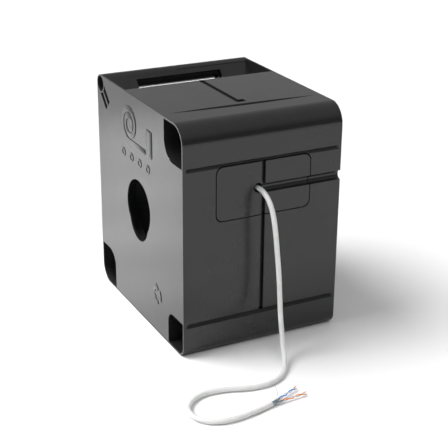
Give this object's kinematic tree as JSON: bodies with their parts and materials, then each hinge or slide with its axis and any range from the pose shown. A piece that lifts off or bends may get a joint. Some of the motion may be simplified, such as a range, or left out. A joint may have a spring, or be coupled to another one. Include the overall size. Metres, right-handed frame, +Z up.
{
  "type": "cable spool box",
  "caption": "Black plastic carrying box of two half shells around a turning cable spool, with a corner handle, keyhole side openings and a front cable outlet.",
  "frame": {"origin": "centre of the box's footprint, on the surface that it stands on", "axes": "+X along the front face and the spool's axis, -Y out of the front face with the cable outlet, +Z up"},
  "size_m": [0.3147, 0.5016, 0.35],
  "materials": {
    "box_plastic": "satin moulded black",
    "spool_plastic": "matte moulded dark grey",
    "bush_plastic": "natural white bearing plastic",
    "screw_steel": "zinc plated",
    "cable_jacket": "smooth white jacket",
    "screen_foil": "crinkled foil",
    "blue_wire": "gloss insulation",
    "orange_wire": "gloss insulation",
    "white_wire": "gloss insulation",
    "bare_copper": "bare drawn copper",
    "tinned_wire": "tinned drain wire"
  },
  "bodies": {
    "box": {"shell_left": "box_plastic", "shell_right": "box_plastic", "outlet_hatch": "box_plastic", "handle_core_tube": "box_plastic", "seam_dowel_1": "box_plastic", "seam_dowel_2": "box_plastic", "seam_dowel_3": "box_plastic", "seam_dowel_4": "box_plastic", "seam_dowel_5": "box_plastic", "seam_dowel_6": "box_plastic", "cable_lead": "cable_jacket", "cable_tail": "cable_jacket", "foil_screen": "screen_foil", "pair_foil_blue": "screen_foil", "pair_foil_orange": "screen_foil", "wire_blue": "blue_wire", "wire_blue_white": "white_wire", "wire_orange": "orange_wire", "wire_orange_white": "white_wire", "copper_tip_blue": "bare_copper", "copper_tip_blue_white": "bare_copper", "copper_tip_orange": "bare_copper", "copper_tip_orange_white": "bare_copper", "drain_wire_long": "tinned_wire", "drain_wire_short": "tinned_wire"},
    "spool": {"spool_core": "spool_plastic", "spool_flange_left": "spool_plastic", "spool_flange_right": "spool_plastic", "bush_left": "bush_plastic", "bush_right": "bush_plastic", "flange_screw_left_1": "screw_steel", "flange_screw_left_2": "screw_steel", "flange_screw_left_3": "screw_steel", "flange_screw_left_4": "screw_steel", "flange_screw_right_1": "screw_steel", "flange_screw_right_2": "screw_steel", "flange_screw_right_3": "screw_steel", "flange_screw_right_4": "screw_steel", "cable_winding": "cable_jacket"}
  },
  "joints": [
    {"name": "spool_spin", "type": "hinge", "parent": "box", "child": "spool", "pos_m": [0, 0, 0.178], "axis": [1, 0, 0], "continuous": true}
  ]
}
